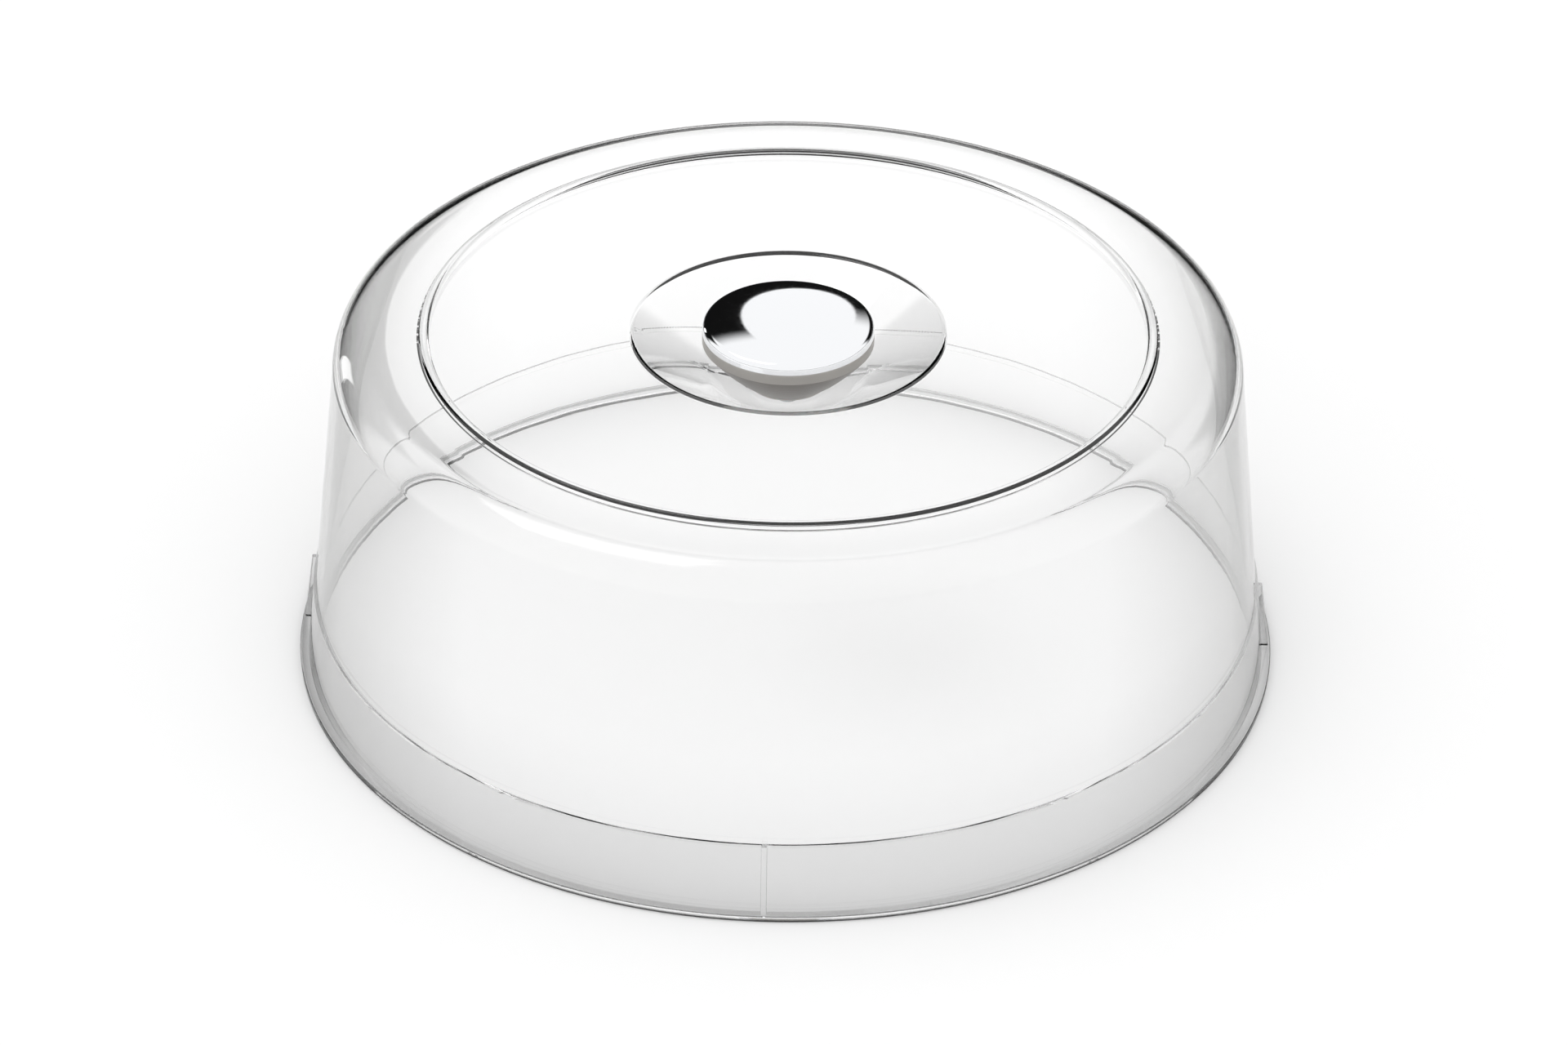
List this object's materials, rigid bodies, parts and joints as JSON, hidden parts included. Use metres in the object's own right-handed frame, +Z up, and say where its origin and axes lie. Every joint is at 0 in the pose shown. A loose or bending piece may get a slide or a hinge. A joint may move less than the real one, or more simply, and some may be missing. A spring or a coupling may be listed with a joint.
{
  "type": "food cover dome",
  "caption": "Round clear food cover with a rounded shoulder, a raised ring on top and a domed chrome knob that stands in a sunk finger well.",
  "frame": {"origin": "on the axis of the dome, in the plane that the rim rests on", "axes": "+Z up along the axis of the dome, +Y away from the viewer, +X to the viewer's right"},
  "size_m": [0.3, 0.3, 0.1147],
  "materials": {
    "clear_moulding": "clear moulded SAN, glossy inside and out",
    "chrome_plate": "mirror bright plate",
    "satin_silver": "satin silver over a moulded body",
    "brass": "turned",
    "soft_seal": "pale soft silicone",
    "zinc_steel": "bright zinc plate"
  },
  "bodies": {
    "cover": {"dome_shell": "clear_moulding", "foot_gasket": "soft_seal", "seal_washer": "soft_seal", "steel_washer": "zinc_steel"},
    "knob": {"knob_cap": "chrome_plate", "knob_body": "satin_silver", "threaded_insert": "brass", "fixing_screw": "zinc_steel"}
  },
  "joints": [
    {"name": "knob_turn", "type": "hinge", "parent": "cover", "child": "knob", "pos_m": [0, 0, 0.0931], "axis": [0, 0, 1], "continuous": true}
  ]
}
